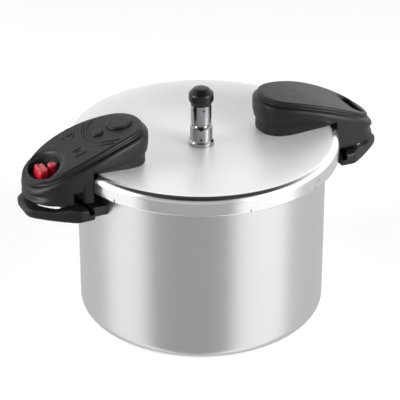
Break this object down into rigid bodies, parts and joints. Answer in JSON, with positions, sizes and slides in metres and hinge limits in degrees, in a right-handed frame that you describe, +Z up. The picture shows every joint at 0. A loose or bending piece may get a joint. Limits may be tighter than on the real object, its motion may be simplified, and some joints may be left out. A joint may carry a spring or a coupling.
{
  "type": "pressure canner",
  "caption": "Stovetop pressure canner: straight-sided aluminium pot, bayonet lid with broad black handles, weighted regulator, sliding red lid lock and lift-out rack.",
  "frame": {"origin": "centre of the pot's flat bottom, where it stands", "axes": "+Z up; +X along the two handles, with the lid lock on the -X side; +Y across them. At rest the lid is closed and the lock is drawn back"},
  "size_m": [0.4286, 0.3076, 0.2667],
  "materials": {
    "satin_aluminium": "satin brushed",
    "polished_aluminium": "polished",
    "plain_aluminium": "matt",
    "chrome": "polished",
    "steel": "plain",
    "handle_black": "fine matt grain",
    "handle_base_black": "matt",
    "bracket_black": "matt",
    "cup_black": "matt",
    "cap_black": "gloss",
    "lever_red": "gloss",
    "indicator_red": "gloss",
    "seal_rubber": "matt"
  },
  "bodies": {
    "pot": {"pot_body": "satin_aluminium", "pot_bracket_left": "bracket_black", "pot_bracket_right": "bracket_black", "pot_handle_left": "handle_black", "pot_handle_right": "handle_black", "pot_handle_screws": "steel", "pot_rivets": "steel"},
    "rack": {"canning_rack": "plain_aluminium", "rack_feet": "plain_aluminium"},
    "lid": {"lid_shell": "polished_aluminium", "lid_gasket": "seal_rubber", "relief_plug": "seal_rubber", "vent_pipe": "steel", "vent_nut": "steel", "skirt_rivets": "polished_aluminium", "lid_handle_screws": "steel", "lid_handle_base_left": "handle_base_black", "lid_handle_base_right": "handle_base_black", "lid_handle_cover_left": "handle_black", "lid_handle_cover_right": "handle_black", "lid_handle_panel_left": "handle_black", "lid_handle_panel_right": "handle_black", "panel_discs": "handle_black", "lock_cup": "cup_black"},
    "regulator": {"regulator_base": "chrome", "regulator_weight": "chrome", "regulator_needle": "steel", "regulator_cap": "cap_black"},
    "lock": {"lock_lever": "lever_red", "lock_bolt": "steel"},
    "indicator": {"indicator_pin": "indicator_red", "indicator_clip": "steel"}
  },
  "joints": [
    {"name": "lid_turn", "type": "hinge", "parent": "pot", "child": "lid", "pos_m": [0, 0, 0.2], "axis": [0, 0, 1], "range_deg": [0, 45]},
    {"name": "rack_lift", "type": "slide", "parent": "pot", "child": "rack", "axis": [0, 0, 1], "range_m": [0, 0.16]},
    {"name": "regulator_lift", "type": "slide", "parent": "lid", "child": "regulator", "axis": [0, 0, 1], "range_m": [0, 0.04]},
    {"name": "lock_slide", "type": "slide", "parent": "lid", "child": "lock", "axis": [-1, 0, 0], "range_m": [0, 0.0055]},
    {"name": "indicator_rise", "type": "slide", "parent": "lid", "child": "indicator", "axis": [0, 0, 1], "range_m": [0, 0.004]}
  ]
}
